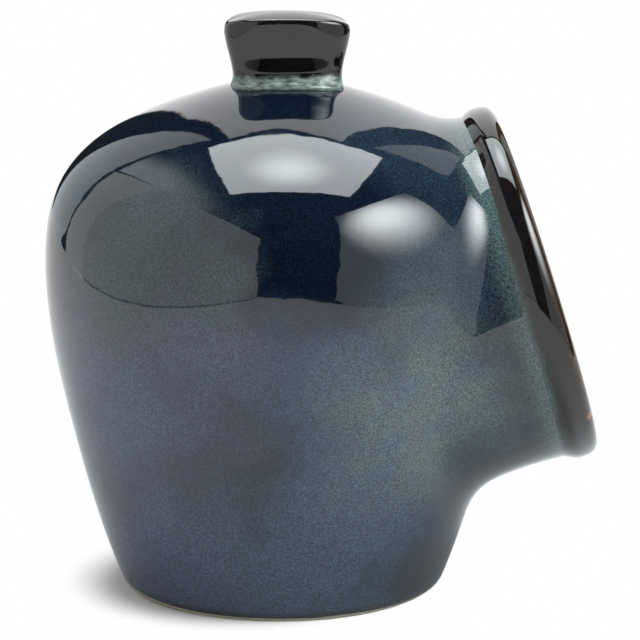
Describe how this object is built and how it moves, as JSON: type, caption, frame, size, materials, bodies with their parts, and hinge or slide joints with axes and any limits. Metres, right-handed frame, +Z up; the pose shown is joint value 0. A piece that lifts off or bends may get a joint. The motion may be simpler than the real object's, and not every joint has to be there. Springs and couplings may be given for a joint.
{
  "type": "salt pig",
  "caption": "Egg-shaped glazed stoneware salt pig with a wide slanted round mouth, a rolled lip, a foot ring and an oval tab knob on its crown.",
  "frame": {"origin": "on the table, under the centre of the foot ring", "axes": "+Z up along the bulb's axis, +X towards the mouth, XZ the plane of symmetry"},
  "size_m": [0.1398, 0.12, 0.148],
  "materials": {
    "body_glaze": "glossy navy and teal reactive glaze, bare clay on the foot ring",
    "rim_glaze": "glossy dark glaze that breaks brown where it runs thin over the lip",
    "knob_glaze": "glossy near-black glaze, pale green where it pools at the root"
  },
  "bodies": {
    "root": {"pot_body": "body_glaze", "mouth_rim": "rim_glaze", "knob": "knob_glaze"}
  },
  "joints": []
}
